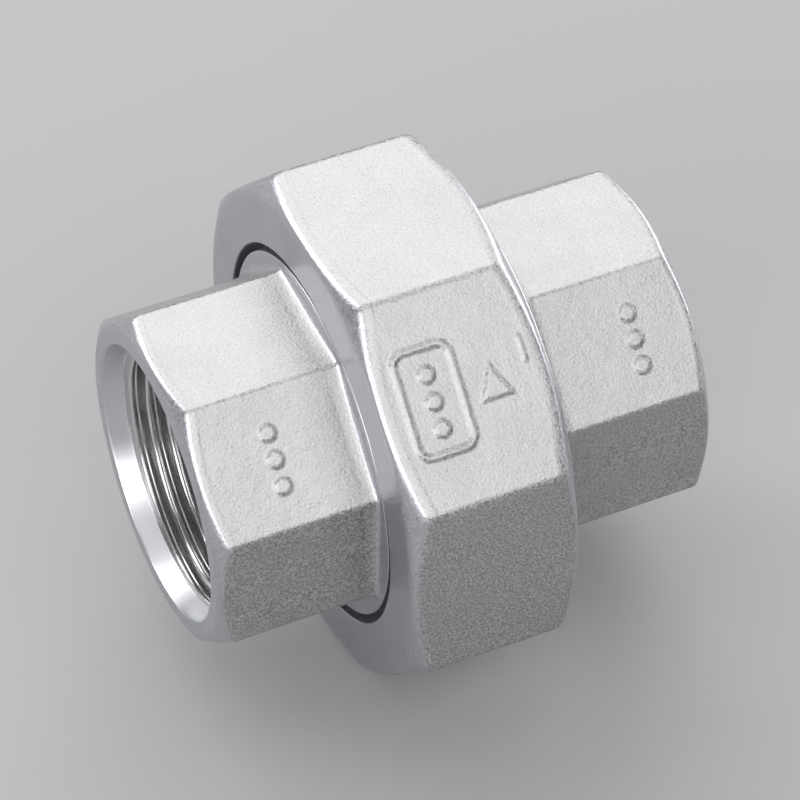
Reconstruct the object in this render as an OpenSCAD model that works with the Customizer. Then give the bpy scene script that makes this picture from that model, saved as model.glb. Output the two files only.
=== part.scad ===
// Threaded pipe union, size 3/4, with flat seats: two octagonal ends that take the pipes,
// an octagonal nut that draws them together, and a sealing ring between their faces.
// X runs along the pipe, Z is up, and the origin is on the pipe's axis, halfway along.

/* [Whole union] */
// Length over both ends
overall_l = 52; // [51:0.5:56]
// Turn of the tailpiece's flats against the nut's
tailpiece_turn = 3; // [-20:1:20]
// Turn of the threaded end's flats against the nut's
threaded_end_turn = 1.6; // [-20:0.2:20]

/* [Octagonal ends] */
// Width across the flats
end_af = 32.6; // [32:0.2:34]
// Diameter at which the corner bevel starts on an end face
end_face_d = 31.3; // [30.6:0.1:31.8]

/* [Pipe sockets] */
// Minor diameter of the 3/4 pipe thread
pipe_minor_d = 24.12; // [23.9:0.02:24.2]
// Length of the threaded wall in each end
pipe_thread_l = 13.4; // [12:0.2:14]
// Diameter of the smooth entrance ahead of the thread
entrance_d = 27.4; // [27:0.1:28]
// Depth of the smooth entrance
entrance_l = 2.1; // [1.5:0.1:2.5]
// Diameter of the plain way between the two sockets
waterway_d = 22; // [20:0.5:23]

/* [Union nut] */
// Width across the flats
nut_af = 50; // [49:0.5:51]
// Length of the nut
nut_l = 17.4; // [17:0.2:18]
// Distance from the tailpiece's end face to the nut
nut_from_end = 16.2; // [16:0.1:16.6]
// Diameter at which the corner bevel starts on the nut's faces
nut_face_d = 48.8; // [48:0.1:49]
// Thickness of the lip that pulls on the collar
lip_t = 3.5; // [3:0.1:4]
// Hole through the lip
lip_hole_d = 38.9; // [38.4:0.1:39.4]

/* [Union thread] */
// Outer diameter of the thread between the nut and the threaded end
union_thread_d = 44; // [43.8:0.1:44.2]
// Pitch of that thread
union_pitch = 2; // [1.5:0.25:2]
// Radial play between the two halves of the thread
thread_play = 0.05; // [0.02:0.01:0.1]

/* [Tailpiece neck] */
// Neck that stands in the lip's hole
neck_d = 37.2; // [36.4:0.1:37.6]
// Collar behind the lip
collar_d = 41.2; // [40.6:0.1:41.4]
// Thickness of the collar
collar_t = 3.95; // [3.5:0.05:4]

/* [Sealing ring] */
// Thickness of the ring
ring_t = 2; // [1.5:0.1:2]
// Outer diameter of the ring
ring_od = 38; // [36:0.2:39]
// Hole through the ring
ring_id = 25; // [23:0.2:26]

/* [Raised marks] */
// Height of the cast marks above their flats
mark_h = 0.35; // [0.2:0.05:0.5]

/* [Hidden] */
$fn = 96;
flats = 8;
bevel_angle = 30;        // bevel of every octagon, measured from its end face
half_l = overall_l / 2;
nut_x0 = nut_from_end - half_l;
nut_x1 = nut_x0 + nut_l;
collar_x0 = nut_x0 + lip_t + 0.05;
seat_x = collar_x0 + collar_t;         // the tailpiece's sealing face
end_seat_x = seat_x + ring_t;          // the threaded end's sealing face
shoulder_x = nut_x1 + 1.3;             // where the thread's boss ends outside the nut
neck_x = nut_x0 + 0.2;                 // where the tailpiece's octagon ends, just inside the lip
root_r = 1.2;                          // foot of each octagon where it meets its round boss
pitch_r = (union_thread_d - 0.65 * union_pitch) / 2;
groove = 0.28 * union_pitch;           // depth of the thread's rings to either side of pitch_r
edge = 0.6;                            // bevel on turned edges
over = 1;                              // cutting tools run past a face by this much
octagon_turn = 180 / flats;
end_r = end_af / 2;
nut_r = nut_af / 2;
mark_face = 45;                        // the marked flat leans this far from upright
pip_r = 0.8;
pip_gap = 2.6;                         // between the centres of neighbouring pips
outline_x = 6.2;                       // raised outline round the nut's pips, along the pipe
outline_y = 10.6;
outline_r = 1.5;
outline_w = 0.5;

// A solid turned about the pipe's axis from [radius, x] points
module turned(points) {
    rotate([0, 90, 0]) rotate_extrude() polygon(points);
}

// An octagonal bar along the pipe's axis, with flats on top, underneath and at both sides
module octagon(across_flats, x0, x1) {
    translate([x0, 0, 0]) rotate([0, 90, 0]) rotate([0, 0, octagon_turn])
        cylinder(h = x1 - x0, r = across_flats / 2 / cos(octagon_turn), $fn = flats);
}

// The turned shape that bevels an octagon's corners at x0, and at x1 too when both is true
module bevel_limit(face_d, x0, x1, both) {
    rise = 4;
    run = rise * tan(bevel_angle);
    turned(concat(
        [[0, x0], [face_d / 2, x0], [face_d / 2 + rise, x0 + run]],
        both ? [[face_d / 2 + rise, x1 - run], [face_d / 2, x1]] : [[face_d / 2 + rise, x1]],
        [[0, x1]]));
}

// Rings that stand for a thread: lands of land_r with V grooves down or out to root between them
function rings(x0, count, land_r, root) =
    [for (i = [0 : count - 1], p = [[land_r, 0.15], [root, 0.5], [land_r, 0.85]])
        [p[0], x0 + (i + p[1]) * union_pitch]];

// Everything cut from the left end: smooth entrance, thread's wall, then the plain way
module pipe_socket() {
    thread_x = entrance_l - half_l;
    floor_x = thread_x + pipe_thread_l;
    turned([
        [0, -half_l - over], [entrance_d / 2, -half_l - over], [entrance_d / 2, thread_x],
        [pipe_minor_d / 2, thread_x], [pipe_minor_d / 2, floor_x],
        [waterway_d / 2, floor_x + (pipe_minor_d - waterway_d) / 2],
        [waterway_d / 2, over], [0, over]]);
}

// Puts a mark at x and across on the marked flat of an octagon with this inner radius
module on_flat(inner_r, x, across) {
    rotate([mark_face, 0, 0]) translate([x, across, inner_r - mark_h]) children();
}

// Three round pips in a row around the flat
module pips(inner_r, x) {
    for (i = [-1 : 1]) on_flat(inner_r, x, pip_gap * i) cylinder(h = 2 * mark_h, r = pip_r);
}

// A plate with round corners, for the outline round the nut's mark
module rounded_plate(size_x, size_y, corner_r, h) {
    for (s = [[size_x, size_y - 2 * corner_r], [size_x - 2 * corner_r, size_y]])
        translate([-s[0] / 2, -s[1] / 2, 0]) cube([s[0], s[1], h]);
    for (sx = [-1, 1], sy = [-1, 1])
        translate([sx * (size_x / 2 - corner_r), sy * (size_y / 2 - corner_r), 0])
            cylinder(h = h, r = corner_r);
}

module outline() {
    difference() {
        rounded_plate(outline_x, outline_y, outline_r, 2 * mark_h);
        translate([0, 0, -mark_h])
            rounded_plate(outline_x - 2 * outline_w, outline_y - 2 * outline_w,
                outline_r - outline_w, 4 * mark_h);
    }
}

// An arrowhead that points the way the nut tightens
module arrowhead() {
    linear_extrude(2 * mark_h) polygon([[-1.6, -1.4], [1.6, -1.4], [0, 1.8]]);
}

module threaded_end() {
    color([0.72, 0.72, 0.71]) difference() {
        union() {
            rotate([threaded_end_turn, 0, 0]) {
                intersection() {
                    octagon(end_af, shoulder_x - over, half_l);
                    mirror([1, 0, 0]) bevel_limit(end_face_d, -half_l, over - shoulder_x, false);
                }
                pips(end_r, 19.5);
            }
            turned(concat(
                [[0, end_seat_x], [pitch_r - thread_play - 2 * edge, end_seat_x],
                 [pitch_r - thread_play, end_seat_x + edge]],
                rings(end_seat_x + edge, 3, pitch_r - thread_play, pitch_r - groove),
                [[pitch_r - thread_play, shoulder_x - edge / 2],
                 [pitch_r - thread_play - edge / 2, shoulder_x],
                 [end_r + root_r, shoulder_x], [end_r, shoulder_x + root_r], [0, shoulder_x + root_r]]));
        }
        mirror([1, 0, 0]) pipe_socket();
    }
}

module gasket() {
    color([0.93, 0.93, 0.91]) turned([
        [ring_id / 2, seat_x], [ring_od / 2, seat_x], [ring_od / 2, end_seat_x], [ring_id / 2, end_seat_x]]);
}

module union_nut() {
    thread_x = nut_x0 + lip_t + 2;
    color([0.72, 0.72, 0.71]) difference() {
        union() {
            intersection() {
                octagon(nut_af, nut_x0, nut_x1);
                bevel_limit(nut_face_d, nut_x0, nut_x1, true);
            }
            on_flat(nut_r, -4.3, 0.1) outline();
            pips(nut_r, -4.3);
            on_flat(nut_r, 1.8, 0) arrowhead();
        }
        turned(concat(
            [[0, nut_x0 - over], [lip_hole_d / 2, nut_x0 - over], [lip_hole_d / 2, nut_x0 + lip_t],
             [pitch_r + groove, nut_x0 + lip_t], [pitch_r + groove, thread_x - 0.5],
             [pitch_r, thread_x]],
            rings(thread_x, 5, pitch_r, pitch_r + groove),
            [[pitch_r, nut_x1 - 2 * edge], [pitch_r + 2 * edge, nut_x1],
             [pitch_r + 2 * edge, nut_x1 + over], [0, nut_x1 + over]]));
    }
}

module tailpiece() {
    color([0.72, 0.72, 0.71]) difference() {
        union() {
            rotate([tailpiece_turn, 0, 0]) {
                intersection() {
                    octagon(end_af, -half_l, neck_x + over);
                    bevel_limit(end_face_d, -half_l, neck_x + over, false);
                }
                pips(end_r, -18.1);
            }
            turned([
                [0, neck_x - root_r], [end_r, neck_x - root_r], [end_r + root_r, neck_x],
                [neck_d / 2, neck_x], [neck_d / 2, collar_x0],
                [collar_d / 2, collar_x0], [collar_d / 2, seat_x - edge],
                [collar_d / 2 - edge, seat_x], [0, seat_x]]);
        }
        pipe_socket();
    }
}

threaded_end();
gasket();
union_nut();
tailpiece();
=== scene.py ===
# Threaded pipe union, size 3/4: two octagonal stainless ends that take the pipes, an octagonal
# nut that draws them together, and a PTFE ring between their faces. The pipe runs along X,
# Z is up, and lengths are in millimetres until a mesh is made.
import math

import bpy
import numpy as np
from mathutils import Matrix, Vector, noise


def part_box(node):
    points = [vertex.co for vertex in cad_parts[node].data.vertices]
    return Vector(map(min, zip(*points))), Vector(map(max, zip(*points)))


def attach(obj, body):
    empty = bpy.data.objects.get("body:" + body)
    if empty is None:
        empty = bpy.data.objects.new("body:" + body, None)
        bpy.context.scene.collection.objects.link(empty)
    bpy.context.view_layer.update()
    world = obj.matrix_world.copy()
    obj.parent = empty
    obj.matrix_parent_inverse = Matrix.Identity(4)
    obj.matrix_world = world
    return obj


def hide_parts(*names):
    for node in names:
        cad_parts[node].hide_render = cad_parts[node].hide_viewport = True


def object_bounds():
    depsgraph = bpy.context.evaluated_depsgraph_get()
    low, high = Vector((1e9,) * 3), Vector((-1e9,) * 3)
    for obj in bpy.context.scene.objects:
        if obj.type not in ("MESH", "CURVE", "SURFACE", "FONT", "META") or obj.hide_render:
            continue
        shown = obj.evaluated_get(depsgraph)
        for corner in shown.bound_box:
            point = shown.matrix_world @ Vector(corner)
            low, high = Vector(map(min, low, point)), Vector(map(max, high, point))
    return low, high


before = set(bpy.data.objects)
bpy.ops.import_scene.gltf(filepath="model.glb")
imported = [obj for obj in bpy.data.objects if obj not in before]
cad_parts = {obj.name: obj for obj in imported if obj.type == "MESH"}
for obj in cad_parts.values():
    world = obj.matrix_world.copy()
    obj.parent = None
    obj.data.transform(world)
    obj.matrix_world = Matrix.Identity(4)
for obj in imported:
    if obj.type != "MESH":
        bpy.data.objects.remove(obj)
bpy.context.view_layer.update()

# ---------------------------------------------------------------------------------------
# Tailpiece: the left end, an investment casting with an octagon for the wrench. Turned on a
# lathe are its socket, end face and bevel, and the neck and collar that stand in the nut. Its
# flat face presses on the sealing ring.
# ---------------------------------------------------------------------------------------
MM = 0.001
CAST, FACED, TURNED, CUT = "as cast", "rough turned", "smooth turned", "cut as a thread"
FLATS = 8
MARKED = 3                    # the flat with raised marks, counted from the one that faces +Y

END_APOTHEM = 16.3            # half the width across an end's flats
END_RIDGE_R = 0.8             # how round the octagon's ridges are cast
END_FACE_R = 15.65            # where the bevel starts on an end face
BEVEL = math.tan(math.radians(30))
SOCKET_R = 14.05              # mouth of the smooth entrance ahead of the pipe thread
SOCKET_DEPTH = 2.1
THREAD_MOUTH_R = 13.45        # where the entrance's slight cone ends and the thread begins
PIPE_PITCH = 1.814
PIPE_THREAD_L = 13.4
PIPE_MINOR_R = 12.06
PIPE_TAPER = 1 / 32           # change of radius along the taper
PIPE_FLANK = math.radians(27.5)
PIPE_ROUND_R = 0.25           # of the thread's crests and roots
LEAD_IN_SLOPE = 3             # fall of the wall per millimetre where the thread begins
RUN_OUT = 0.8                 # step from the thread's end down to the waterway
RUN_OUT_SLOPE = 0.8
WATERWAY_R = 11.0
NECK_R = 18.6
NECK_X = -9.6                 # the shoulder between the octagon and the neck
COLLAR_X = -6.25
TAIL_TURN = math.radians(3)
TAIL_MARK_X = -18.1

COLUMN_STEP = 0.8             # between a flat's columns of points
MARKED_COLUMN_STEP = 0.07
RIDGE_MARGIN = 0.15           # from a ridge to the nearest column beside it
RIDGE_COLUMNS = 9


def octagon_columns(apothem, ridge_r, turn):
    """Angles round the pipe over one turn, and the round-ridged octagon's radius at each."""
    half = (apothem - ridge_r) * math.tan(math.pi / FLATS)
    ridge_at = (apothem - ridge_r) / math.cos(math.pi / FLATS)
    angles, radii = [], []
    for k in range(FLATS):
        facing = turn + 2 * math.pi * k / FLATS
        step = MARKED_COLUMN_STEP if k == MARKED else COLUMN_STEP
        inner = np.linspace(-1, 1, 1 + round(half / step)) * (half - RIDGE_MARGIN)
        across = np.concatenate([[-half], inner, [half]])
        angles += list(facing + np.arctan(across / apothem))
        radii += list(np.hypot(across, apothem))
        for lean in np.linspace(-1, 1, RIDGE_COLUMNS)[1:-1] * math.pi / FLATS:
            out = ridge_at + ridge_r * math.cos(lean)
            side = ridge_r * math.sin(lean)
            angles.append(facing + math.pi / FLATS + math.atan2(side, out))
            radii.append(math.hypot(out, side))
    return np.array(angles + [angles[0] + 2 * math.pi]), np.array(radii + [radii[0]])


SOFT_SHARE = 0.45             # the most of a face that the rounding of one corner may take
SUPPORT = 0.1                 # from a corner's rounding to the row that keeps it tight
SUPPORT_SHARE = 0.2           # the most of a face that this may be


def skin(path, columns):
    """Rows of points (x, radius) along a path, and the finish of the strip after each row.

    The path alternates corners (x, radius, softness) and faces (finish, rows between its ends).
    Softness is how far from a corner its rounding begins, where the faces are long enough."""
    corners = [np.array([np.broadcast_to(v, columns) for v in point[:2]]) for point in path[::2]]
    softness = [point[2] for point in path[::2]]
    rows, finishes = [], []
    for i, (finish, count) in enumerate(path[1::2]):
        run = corners[i + 1] - corners[i]
        length = np.maximum(np.linalg.norm(run, axis=0), 0.001)
        start = corners[i] + run * np.minimum(softness[i] / length, SOFT_SHARE)
        stop = corners[i + 1] - run * np.minimum(softness[i + 1] / length, SOFT_SHARE)
        if i:
            before = rows[-1]
            for s in (0.25, 0.5, 0.75):
                rows.append((1 - s) ** 2 * before + 2 * s * (1 - s) * corners[i] + s * s * start)
            finishes += [path[2 * i - 1][0]] * 2 + [finish] * 2
        support = np.minimum(SUPPORT / length, SUPPORT_SHARE)
        places = [0 * support, support]
        places += [support + s * (1 - 2 * support) for s in np.linspace(0, 1, count + 2)[1:-1]]
        places += [1 - support, 1 + 0 * support]
        rows += [start + place * (stop - start) for place in places]
        finishes += [finish] * (count + 3)
    return np.array(rows), finishes


def mirrored(sheet):
    """The same sheet on a piece that faces the other way."""
    rows, finishes = sheet
    return rows[::-1] * [[[-1], [1]]], finishes[::-1]


def turned_back(sheet):
    """The same sheet with its rows in the opposite order, for a wall that faces the axis."""
    rows, finishes = sheet
    return rows[::-1], finishes[::-1]


def thread_depth(turns, pitch, flank, round_r):
    """How far a thread's surface is below its crest, at a distance in turns from the crest."""
    along = np.abs((turns + 0.5) % 1 - 0.5) * pitch
    reach = round_r * math.cos(flank)
    top = round_r * (1 - math.sin(flank))
    full = 2 * top + (pitch / 2 - 2 * reach) / math.tan(flank)
    if along <= reach:
        return round_r - math.sqrt(round_r ** 2 - along ** 2)
    if along >= pitch / 2 - reach:
        return full - round_r + math.sqrt(round_r ** 2 - (pitch / 2 - along) ** 2)
    return top + (along - reach) / math.tan(flank)


def thread(angles, x0, x1, pitch, flank, round_r, phase, radius):
    """A right-hand thread from x0 to x1 as rows that follow its helix.

    radius(x, depth) is the wall's radius. It must not depend on depth at x0 and x1, where the
    rows are cut off square."""
    reach = round_r * math.cos(flank) / pitch
    crest = np.linspace(-reach, reach, 5)
    side = np.linspace(reach, 0.5 - reach, 5)[1:-1]
    places = np.concatenate([crest, side, 0.5 + crest, 0.5 + side])
    turned_by = angles / (2 * math.pi) + phase
    rows = [[np.full_like(angles, x0), radius(np.full_like(angles, x0), 0)]]
    for turn in range(math.floor(x0 / pitch - turned_by.max()) - 1, math.ceil(x1 / pitch) + 2):
        for place in places:
            x = np.clip((turn + place + turned_by) * pitch, x0, x1)
            if x.max() > x0 and rows[-1][0].min() < x1:
                rows.append([x, radius(x, thread_depth(place, pitch, flank, round_r))])
    return np.array(rows), [CUT] * (len(rows) - 1)


def pipe_thread(angles, mouth_x, inward):
    """The tapered thread of a socket whose bore runs inward (1 or -1 along X) from its mouth."""
    def wall(x, depth):
        down = (x - mouth_x) * inward - SOCKET_DEPTH
        crest = PIPE_MINOR_R + (PIPE_THREAD_L / 2 - down) * PIPE_TAPER
        lead_in = THREAD_MOUTH_R - down * LEAD_IN_SLOPE
        run_out = WATERWAY_R + RUN_OUT + (PIPE_THREAD_L - down) * RUN_OUT_SLOPE
        return np.minimum(np.maximum(crest + depth, lead_in), run_out)

    ends = [mouth_x + inward * SOCKET_DEPTH, mouth_x + inward * (SOCKET_DEPTH + PIPE_THREAD_L)]
    return turned_back(
        thread(angles, min(ends), max(ends), PIPE_PITCH, PIPE_FLANK, PIPE_ROUND_R, 0, wall))


def octagon_end(octagon, mouth_x, root_x, root_soft):
    """Path from a left-facing socket's entrance round its end face and along its octagon."""
    return [(mouth_x + SOCKET_DEPTH, THREAD_MOUTH_R, 0), (TURNED, 3),
            (mouth_x, SOCKET_R, 0.2), (FACED, 2),
            (mouth_x, END_FACE_R, 0.4), (FACED, 2),
            (mouth_x + (octagon - END_FACE_R) * BEVEL, octagon, 0.7), (CAST, 100),
            (root_x, octagon, root_soft), (FACED, 3)]


def waterway(seat_x, end_x):
    """Path from a sealing face's inner edge down the plain bore to the end of the pipe thread."""
    back = math.copysign(RUN_OUT, seat_x - end_x)
    return [(seat_x, WATERWAY_R, 0.25), (TURNED, 4),
            (end_x + back, WATERWAY_R, 0.25), (TURNED, 1),
            (end_x, WATERWAY_R + RUN_OUT, 0)]


def soft_step(x):
    x = np.clip(x, 0, 1)
    return x * x * (3 - 2 * x)


MARK_H = 0.22
MARK_EDGE = 0.55              # width of the slope at a cast mark's edge
PIP_R = 0.8
PIP_GAP = 2.6                 # between the centres of neighbouring pips


def raised(outside):
    """Height of a cast mark's surface at a distance outside its outline."""
    return MARK_H * soft_step(0.5 - outside / MARK_EDGE)


def pips(x, across, centre):
    """Three round pips in a row around the flat."""
    row = [raised(np.hypot(x - centre, across - PIP_GAP * i) - PIP_R) for i in (-1, 0, 1)]
    return np.max(row, axis=0)


SAG = 0.03                    # mean depth of a cast skin below its drawn shape
WAVES, WAVES_PER_MM = 0.035, 0.22
DENTS, DENTS_PER_MM = 0.015, 0.9
BLEND_ROWS = 9                # over which the sag fades out beside a machined face


def cast_sag(points):
    """How far a cast skin has sunk below its drawn shape, from slow shrinkage and fine dents."""
    sag = [SAG + WAVES * noise.noise(Vector(p) * WAVES_PER_MM)
           + DENTS * noise.noise(Vector(p) * DENTS_PER_MM) for p in points]
    return np.maximum(sag, 0)


def build(name, sheets, angles, apothem, turn, marks, finishes):
    """One closed mesh from sheets that meet edge to edge, with marks(x, across) on one flat."""
    lean = turn + 2 * math.pi * MARKED / FLATS
    points, quads, kinds = [], [], []
    count = 0
    for rows, strips in sheets:
        x, r = rows[:, 0], rows[:, 1]
        y, z = r * np.cos(angles), r * np.sin(angles)
        out = y * math.cos(lean) + z * math.sin(lean)
        across = y * math.sin(lean) - z * math.cos(lean)
        lift = np.where(np.abs(out - apothem) < 0.001, marks(x, across), 0)
        if CAST in strips:
            is_cast = [kind == CAST for kind in [strips[0], *strips]]
            near_cast = np.convolve(is_cast, np.ones(BLEND_ROWS) / BLEND_ROWS, "same")
            sag = cast_sag(np.stack([x, y, z], axis=-1).reshape(-1, 3)).reshape(x.shape)
            lift_off = sag * soft_step(2 * near_cast - 1)[:, None]
            y, z = y - lift_off * np.cos(angles), z - lift_off * np.sin(angles)
            y[:, -1], z[:, -1] = y[:, 0], z[:, 0]
        y, z = y + lift * math.cos(lean), z + lift * math.sin(lean)
        points.append(np.stack([x, y, z], axis=-1).reshape(-1, 3))
        at = count + np.arange(x.size).reshape(x.shape)
        count += x.size
        corners = [at[:-1, :-1], at[:-1, 1:], at[1:, 1:], at[1:, :-1]]
        quads.append(np.stack(corners, axis=-1).reshape(-1, 4))
        kinds += [kind for kind in strips for _ in angles[1:]]
    points = np.concatenate(points)
    _, first, same = np.unique(np.round(points, 3), axis=0, return_index=True, return_inverse=True)
    used = sorted(set(kinds))
    faces, slots = [], []
    for quad, kind in zip(same.reshape(-1)[np.concatenate(quads)].tolist(), kinds):
        face = [v for i, v in enumerate(quad) if v != quad[i - 1]]
        if len(face) > 2:
            faces.append(face)
            slots.append(used.index(kind))
    mesh = bpy.data.meshes.new(name)
    mesh.from_pydata((points[first] * MM).tolist(), [], faces)
    mesh.polygons.foreach_set("material_index", np.array(slots, np.int32))
    mesh.polygons.foreach_set("use_smooth", np.ones(len(faces), bool))
    for kind in used:
        mesh.materials.append(finishes[kind])
    piece = bpy.data.objects.new(name, mesh)
    bpy.context.scene.collection.objects.link(piece)
    return piece


def grain_group():
    """The pebbled skin of an investment casting: Height for a bump, Speckle where its grains
    shine or are dull, and Cloud for slow changes of tone."""
    group = bpy.data.node_groups.new("casting_grain", "ShaderNodeTree")
    group.interface.new_socket("Grains per Metre", in_out="INPUT", socket_type="NodeSocketFloat")
    group.interface.new_socket("Height", in_out="OUTPUT", socket_type="NodeSocketFloat")
    group.interface.new_socket("Speckle", in_out="OUTPUT", socket_type="NodeSocketFloat")
    group.interface.new_socket("Cloud", in_out="OUTPUT", socket_type="NodeSocketFloat")
    nodes, links = group.nodes, group.links
    given, result = nodes.new("NodeGroupInput"), nodes.new("NodeGroupOutput")
    place = nodes.new("ShaderNodeTexCoord")
    pebbles = nodes.new("ShaderNodeTexNoise")
    pebbles.inputs["Detail"].default_value = 3
    pebbles.inputs["Roughness"].default_value = 0.6
    links.new(place.outputs["Object"], pebbles.inputs["Vector"])
    links.new(given.outputs["Grains per Metre"], pebbles.inputs["Scale"])
    speckle = nodes.new("ShaderNodeTexNoise")
    speckle.inputs["Scale"].default_value = 4200
    speckle.inputs["Detail"].default_value = 1
    links.new(place.outputs["Object"], speckle.inputs["Vector"])
    cloud = nodes.new("ShaderNodeTexNoise")
    cloud.inputs["Scale"].default_value = 180
    cloud.inputs["Detail"].default_value = 4
    links.new(place.outputs["Object"], cloud.inputs["Vector"])
    links.new(pebbles.outputs["Fac"], result.inputs["Height"])
    links.new(speckle.outputs["Fac"], result.inputs["Speckle"])
    links.new(cloud.outputs["Fac"], result.inputs["Cloud"])
    return group


def lathe_group():
    """Fine rings left by a turning tool, round the pipe's axis."""
    group = bpy.data.node_groups.new("lathe_rings", "ShaderNodeTree")
    group.interface.new_socket("Rings per Metre", in_out="INPUT", socket_type="NodeSocketFloat")
    group.interface.new_socket("Height", in_out="OUTPUT", socket_type="NodeSocketFloat")
    nodes, links = group.nodes, group.links
    given, result = nodes.new("NodeGroupInput"), nodes.new("NodeGroupOutput")
    place = nodes.new("ShaderNodeTexCoord")
    split = nodes.new("ShaderNodeSeparateXYZ")
    links.new(place.outputs["Object"], split.inputs[0])
    around = nodes.new("ShaderNodeCombineXYZ")
    links.new(split.outputs["Y"], around.inputs["Y"])
    links.new(split.outputs["Z"], around.inputs["Z"])
    radius = nodes.new("ShaderNodeVectorMath")
    radius.operation = "LENGTH"
    links.new(around.outputs[0], radius.inputs[0])
    section = nodes.new("ShaderNodeCombineXYZ")
    links.new(split.outputs["X"], section.inputs["X"])
    links.new(radius.outputs["Value"], section.inputs["Y"])
    rings = nodes.new("ShaderNodeTexNoise")
    rings.inputs["Detail"].default_value = 3
    links.new(section.outputs[0], rings.inputs["Vector"])
    links.new(given.outputs["Rings per Metre"], rings.inputs["Scale"])
    links.new(rings.outputs["Fac"], result.inputs["Height"])
    return group


def steel(name):
    """A new bare metal material, and its nodes, links and shader."""
    material = bpy.data.materials.new(name)
    material.use_nodes = True
    nodes, links = material.node_tree.nodes, material.node_tree.links
    shader = nodes["Principled BSDF"]
    shader.inputs["Metallic"].default_value = 1
    return material, nodes, links, shader


def bump(nodes, links, shader, height, distance):
    node = nodes.new("ShaderNodeBump")
    node.inputs["Distance"].default_value = distance
    links.new(height, node.inputs["Height"])
    links.new(node.outputs["Normal"], shader.inputs["Normal"])


def cast_skin(name, grains, dark, light, roughness, pitted, depth):
    """Cast steel whose tone drifts between dark and light. Roughness gives its limits, pitted how
    much of the tone its pits keep, and depth how deep its grain is, in metres."""
    material, nodes, links, shader = steel(name)
    grain = nodes.new("ShaderNodeGroup")
    grain.node_tree = grains
    grain.inputs["Grains per Metre"].default_value = 3400
    bump(nodes, links, shader, grain.outputs["Height"], depth)
    gloss = nodes.new("ShaderNodeMapRange")
    gloss.inputs["From Min"].default_value = 0.3
    gloss.inputs["From Max"].default_value = 0.7
    gloss.inputs["To Min"].default_value = roughness[0]
    gloss.inputs["To Max"].default_value = roughness[1]
    links.new(grain.outputs["Speckle"], gloss.inputs["Value"])
    links.new(gloss.outputs["Result"], shader.inputs["Roughness"])
    tone = nodes.new("ShaderNodeMix")
    tone.data_type = "RGBA"
    tone.inputs["A"].default_value = (*dark, 1)
    tone.inputs["B"].default_value = (*light, 1)
    links.new(grain.outputs["Cloud"], tone.inputs["Factor"])
    pit = nodes.new("ShaderNodeMapRange")
    pit.inputs["From Min"].default_value = 0.65
    pit.inputs["From Max"].default_value = 0.3
    links.new(grain.outputs["Speckle"], pit.inputs["Value"])
    darkened = nodes.new("ShaderNodeMix")
    darkened.data_type = "RGBA"
    darkened.blend_type = "MULTIPLY"
    darkened.inputs["B"].default_value = (pitted, pitted, pitted, 1)
    links.new(pit.outputs["Result"], darkened.inputs["Factor"])
    links.new(tone.outputs["Result"], darkened.inputs["A"])
    links.new(darkened.outputs["Result"], shader.inputs["Base Color"])
    return material


def lathe_finish(name, rings, colour, roughness, per_metre, depth):
    """Turned steel, with so many tool rings in a metre and their depth in metres."""
    material, nodes, links, shader = steel(name)
    shader.inputs["Base Color"].default_value = (*colour, 1)
    shader.inputs["Roughness"].default_value = roughness
    group = nodes.new("ShaderNodeGroup")
    group.node_tree = rings
    group.inputs["Rings per Metre"].default_value = per_metre
    bump(nodes, links, shader, group.outputs["Height"], depth)
    return material


casting_grain = grain_group()
lathe_rings = lathe_group()
steel_finishes = {
    CAST: cast_skin("cast_stainless_skin", casting_grain, dark=(0.46, 0.46, 0.465),
                    light=(0.54, 0.54, 0.535), roughness=(0.33, 0.64), pitted=0.62, depth=0.00006),
    FACED: cast_skin("faced_stainless", casting_grain, dark=(0.5, 0.505, 0.54),
                     light=(0.57, 0.575, 0.61), roughness=(0.3, 0.45), pitted=0.8, depth=0.00003),
    TURNED: lathe_finish("turned_stainless", lathe_rings, colour=(0.6, 0.605, 0.63),
                         roughness=0.36, per_metre=5000, depth=0.00001),
    CUT: lathe_finish("cut_thread_stainless", lathe_rings, colour=(0.6, 0.6, 0.605),
                      roughness=0.2, per_metre=3000, depth=0.000006)}

tail_low, tail_high = (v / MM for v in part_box("tailpiece"))
tail_angles, tail_octagon = octagon_columns(END_APOTHEM, END_RIDGE_R, TAIL_TURN)
tail_path = octagon_end(tail_octagon, tail_low.x, NECK_X, 1.3) + [
    (NECK_X, NECK_R, 0.1), (TURNED, 3),
    (COLLAR_X, NECK_R, 0.3), (TURNED, 1),
    (COLLAR_X, tail_high.y, 0.25), (TURNED, 2),
    (tail_high.x, tail_high.y, 0.5), (TURNED, 4)]
tail_path += waterway(tail_high.x, tail_low.x + SOCKET_DEPTH + PIPE_THREAD_L)
tailpiece = build(
    "tailpiece_casting",
    [skin(tail_path, len(tail_angles)), pipe_thread(tail_angles, tail_low.x, 1)],
    tail_angles, END_APOTHEM, TAIL_TURN, lambda x, across: pips(x, across, TAIL_MARK_X),
    steel_finishes)
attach(tailpiece, "tailpiece")
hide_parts("tailpiece")

# ---------------------------------------------------------------------------------------
# Union nut: a larger octagonal casting that slides on over the tailpiece. Its turned lip pulls
# on the collar, and its thread runs on the right-hand end. One flat carries cast marks.
# ---------------------------------------------------------------------------------------
NUT_APOTHEM = 25.0
NUT_RIDGE_R = 1.3
NUT_FACE_R = 24.4             # where the bevels start on both faces
LIP_R = 19.45
LIP_X = -6.3                  # the lip's inner side
UNION_PITCH = 2.0
UNION_FLANK = math.radians(30)
UNION_ROUND_R = 0.3
NUT_CREST_R = 20.93
NUT_RELIEF_R = 22.1
NUT_THREAD_X = -4.8           # the thread's inner end, at the relief
NUT_RUN_OUT_SLOPE = 1.2
NUT_MOUTH_R = 22.7

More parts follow.
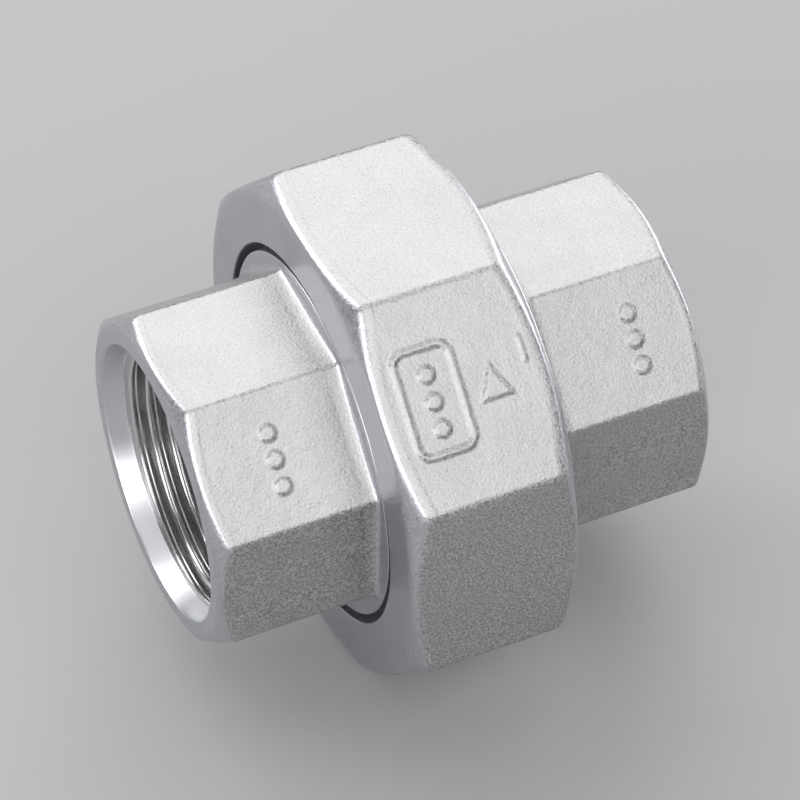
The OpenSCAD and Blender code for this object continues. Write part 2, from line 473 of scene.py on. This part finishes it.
NUT_MARK_X = -4.3             # middle of the outline and its pips
OUTLINE_ACROSS = 0.1          # middle of the outline round the flat
OUTLINE_SIDES = (1.6, 3.8)    # half of its straight sides, along the pipe and round the flat
OUTLINE_CORNER_R = 1.25
OUTLINE_HALF_W = 0.27
ARROW_X = 1.8
ARROW_TIP, ARROW_BASE = 1.8, -1.4
GATE_X, GATE_ACROSS = 5.4, 2.3
GATE_HALF_L = 1.1
GATE_R = 0.15

nut_low, nut_high = (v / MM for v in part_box("union_nut"))


def nut_wall(x, depth):
    mouth = NUT_MOUTH_R - (nut_high.x - x)
    run_out = NUT_RELIEF_R - (x - NUT_THREAD_X) * NUT_RUN_OUT_SLOPE
    return np.maximum(np.maximum(NUT_CREST_R + depth, mouth), run_out)


def nut_marks(x, across):
    """An outline round three pips, an arrowhead that points the way the nut comes off, and the
    mark that the casting's gate left."""
    past_x = np.maximum(np.abs(x - NUT_MARK_X) - OUTLINE_SIDES[0], 0)
    past_across = np.maximum(np.abs(across - OUTLINE_ACROSS) - OUTLINE_SIDES[1], 0)
    outline = raised(np.abs(np.hypot(past_x, past_across) - OUTLINE_CORNER_R) - OUTLINE_HALF_W)
    past_sides = (np.abs(x - ARROW_X) - (ARROW_TIP - across) / 2) * 2 / math.sqrt(5)
    arrowhead = raised(np.maximum(past_sides, ARROW_BASE - across))
    past_gate = np.maximum(np.abs(across - GATE_ACROSS) - GATE_HALF_L, 0)
    gate = raised(np.hypot(x - GATE_X, past_gate) - GATE_R)
    return np.max([outline, pips(x, across, NUT_MARK_X), arrowhead, gate], axis=0)


nut_angles, nut_octagon = octagon_columns(NUT_APOTHEM, NUT_RIDGE_R, 0)
nut_bevel = (nut_octagon - NUT_FACE_R) * BEVEL
nut_path = [
    (NUT_THREAD_X, NUT_RELIEF_R, 0), (TURNED, 1),
    (LIP_X, NUT_RELIEF_R, 0.3), (TURNED, 2),
    (LIP_X, LIP_R, 0.2), (TURNED, 2),
    (nut_low.x, LIP_R, 0.15), (FACED, 8),
    (nut_low.x, NUT_FACE_R, 0.8), (FACED, 4),
    (nut_low.x + nut_bevel, nut_octagon, 1.0), (CAST, 110),
    (nut_high.x - nut_bevel, nut_octagon, 1.2), (FACED, 4),
    (nut_high.x, NUT_FACE_R, 0.5), (TURNED, 2),
    (nut_high.x, NUT_MOUTH_R, 0)]
nut_thread = turned_back(thread(nut_angles, NUT_THREAD_X, nut_high.x, UNION_PITCH, UNION_FLANK,
                                UNION_ROUND_R, 0.5, nut_wall))
union_nut = build("union_nut_casting", [skin(nut_path, len(nut_angles)), nut_thread], nut_angles,
                  NUT_APOTHEM, 0, nut_marks, steel_finishes)
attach(union_nut, "union_nut")
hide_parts("union_nut")

# ---------------------------------------------------------------------------------------
# Sealing ring: a flat ring cut from white PTFE sheet, with its edges broken. It lies loose
# between the two flat faces, and the nut's pull squeezes it.
# ---------------------------------------------------------------------------------------
RING_INNER_R = 12.5
RING_SOFT = 0.25
RING_SIDES = 144


def ptfe():
    material = bpy.data.materials.new("white_ptfe")
    material.use_nodes = True
    nodes, links = material.node_tree.nodes, material.node_tree.links
    shader = nodes["Principled BSDF"]
    shader.inputs["Roughness"].default_value = 0.42
    shader.inputs["Subsurface Weight"].default_value = 0.2
    shader.inputs["Subsurface Radius"].default_value = (0.0006, 0.0006, 0.0006)
    rings = nodes.new("ShaderNodeGroup")
    rings.node_tree = lathe_rings
    rings.inputs["Rings per Metre"].default_value = 2500
    bump(nodes, links, shader, rings.outputs["Height"], 0.00002)
    tone = nodes.new("ShaderNodeMix")
    tone.data_type = "RGBA"
    tone.inputs["A"].default_value = (0.8, 0.8, 0.77, 1)
    tone.inputs["B"].default_value = (0.88, 0.88, 0.86, 1)
    links.new(rings.outputs["Height"], tone.inputs["Factor"])
    links.new(tone.outputs["Result"], shader.inputs["Base Color"])
    return material


ring_low, ring_high = (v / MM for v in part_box("gasket"))
ring_middle = (ring_high.x, (RING_INNER_R + ring_high.y) / 2, 0)
ring_path = [
    ring_middle, (TURNED, 3),
    (ring_high.x, RING_INNER_R, RING_SOFT), (TURNED, 3),
    (ring_low.x, RING_INNER_R, RING_SOFT), (TURNED, 6),
    (ring_low.x, ring_high.y, RING_SOFT), (TURNED, 3),
    (ring_high.x, ring_high.y, RING_SOFT), (TURNED, 3),
    ring_middle]
ring_angles = np.linspace(0, 2 * math.pi, RING_SIDES + 1)
gasket = build("ptfe_ring", [skin(ring_path, len(ring_angles))], ring_angles, 0, 0,
               lambda x, across: 0 * x, {TURNED: ptfe()})
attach(gasket, "gasket")
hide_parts("gasket")

# ---------------------------------------------------------------------------------------
# Threaded end: the right-hand casting, with the same octagon and socket as the tailpiece. Its
# boss has the thread that the nut runs on, and a flat face for the sealing ring.
# ---------------------------------------------------------------------------------------
THREADED_END_TURN = math.radians(1.6)
END_MARK_X = 19.5
SHOULDER_X = 8.9              # where the boss ends, outside the nut
BOSS_R = 21.3
END_CREST_R = 21.85
END_RELIEF_R = 20.7
END_THREAD_X = 7.2            # where the thread runs out
CHAMFER_R = 20.2              # where the chamfer starts on the sealing face

end_low, end_high = (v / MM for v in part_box("threaded_end"))


def boss_wall(x, depth):
    chamfer = CHAMFER_R + x - end_low.x
    run_out = END_RELIEF_R + END_THREAD_X - x
    return np.minimum(np.minimum(END_CREST_R - depth, chamfer), run_out)


end_angles, end_octagon = octagon_columns(END_APOTHEM, END_RIDGE_R, THREADED_END_TURN)
end_outside = octagon_end(end_octagon, -end_high.x, -SHOULDER_X, 1.8) + [
    (-SHOULDER_X, BOSS_R, 0.3), (TURNED, 2),
    (-END_THREAD_X - 0.6, BOSS_R, 0.15), (TURNED, 1),
    (-END_THREAD_X, END_RELIEF_R, 0)]
end_seat = waterway(end_low.x, end_high.x - SOCKET_DEPTH - PIPE_THREAD_L)[::-1] + [
    (TURNED, 4), (end_low.x, CHAMFER_R, 0)]
threaded_end = build(
    "threaded_end_casting",
    [skin(end_seat, len(end_angles)),
     thread(end_angles, end_low.x, END_THREAD_X, UNION_PITCH, UNION_FLANK, UNION_ROUND_R, 0,
            boss_wall),
     mirrored(skin(end_outside, len(end_angles))),
     pipe_thread(end_angles, end_high.x, -1)],
    end_angles, END_APOTHEM, THREADED_END_TURN, lambda x, across: pips(x, across, END_MARK_X),
    steel_finishes)
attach(threaded_end, "threaded_end")
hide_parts("threaded_end")

# ---------------------------------------------------------------------------------------
# Setting: the union lies on one flat of its nut on a plain pale floor. Wide softboxes stand
# behind, above, in front and at both sides of it, and a small bright one behind at the left.
# ---------------------------------------------------------------------------------------
FLOOR_HALF = 3                # metres

floor_mesh = bpy.data.meshes.new("floor")
floor_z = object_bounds()[0].z
floor_corners = [(x * FLOOR_HALF, y * FLOOR_HALF, floor_z)
                 for x, y in ((-1, -1), (1, -1), (1, 1), (-1, 1))]
floor_mesh.from_pydata(floor_corners, [], [(0, 1, 2, 3)])
floor = bpy.data.objects.new("floor", floor_mesh)
bpy.context.scene.collection.objects.link(floor)
floor_paint = bpy.data.materials.new("floor_paint")
floor_paint.use_nodes = True
floor_shader = floor_paint.node_tree.nodes["Principled BSDF"]
floor_shader.inputs["Base Color"].default_value = (0.3, 0.304, 0.306, 1)
floor_shader.inputs["Roughness"].default_value = 0.7
floor_mesh.materials.append(floor_paint)


def soft_light(name, direction, width, height, radiance):
    """A softbox one metre away, in a direction from the union and facing it."""
    data = bpy.data.lights.new(name, "AREA")
    data.shape = "RECTANGLE"
    data.size = width
    data.size_y = height
    data.energy = radiance * math.pi * width * height
    lamp = bpy.data.objects.new(name, data)
    way = Vector(direction).normalized()
    lamp.location = way
    lamp.rotation_mode = "QUATERNION"
    lamp.rotation_quaternion = way.to_track_quat("Z", "Y")
    bpy.context.scene.collection.objects.link(lamp)


soft_light("back_light", (0.1, 0.69, 0.72), 1.2, 0.7, 3.15)
soft_light("key_light", (-0.6, 0.65, 0.45), 0.4, 0.5, 7)
soft_light("top_light", (0, 0, 1), 1.2, 0.8, 1.1)
soft_light("front_light", (0.05, -0.74, 0.66), 1.2, 0.8, 2.7)
soft_light("left_light", (-0.82, -0.45, 0.38), 1.0, 0.45, 5)
soft_light("right_light", (0.92, 0.25, 0.22), 1.0, 0.4, 5)
world = bpy.data.worlds.new("studio")
world.use_nodes = True
world.node_tree.nodes["Background"].inputs["Color"].default_value = (0.95, 0.98, 1, 1)
world.node_tree.nodes["Background"].inputs["Strength"].default_value = 0.05
bpy.context.scene.world = world
bpy.context.scene.view_settings.view_transform = "Standard"

VIEW_AZIMUTH = math.radians(-23.65)
VIEW_ELEVATION = math.radians(44.18)
VIEW_ROLL = math.radians(-0.86)
VIEW_DISTANCE = 0.4196        # metres
VIEW_CENTRE = Vector((0.57, 1.29, -0.78)) * MM
camera_data = bpy.data.cameras.new("camera")
camera_data.sensor_width = 36
camera_data.lens = 191.4
camera = bpy.data.objects.new("camera", camera_data)
back = Vector((math.sin(VIEW_AZIMUTH) * math.cos(VIEW_ELEVATION),
               -math.cos(VIEW_AZIMUTH) * math.cos(VIEW_ELEVATION), math.sin(VIEW_ELEVATION)))
camera.rotation_mode = "QUATERNION"
roll = Matrix.Rotation(VIEW_ROLL, 3, "Z").to_quaternion()
camera.rotation_quaternion = back.to_track_quat("Z", "Y") @ roll
camera.location = VIEW_CENTRE + back * VIEW_DISTANCE
bpy.context.scene.collection.objects.link(camera)
bpy.context.scene.camera = camera
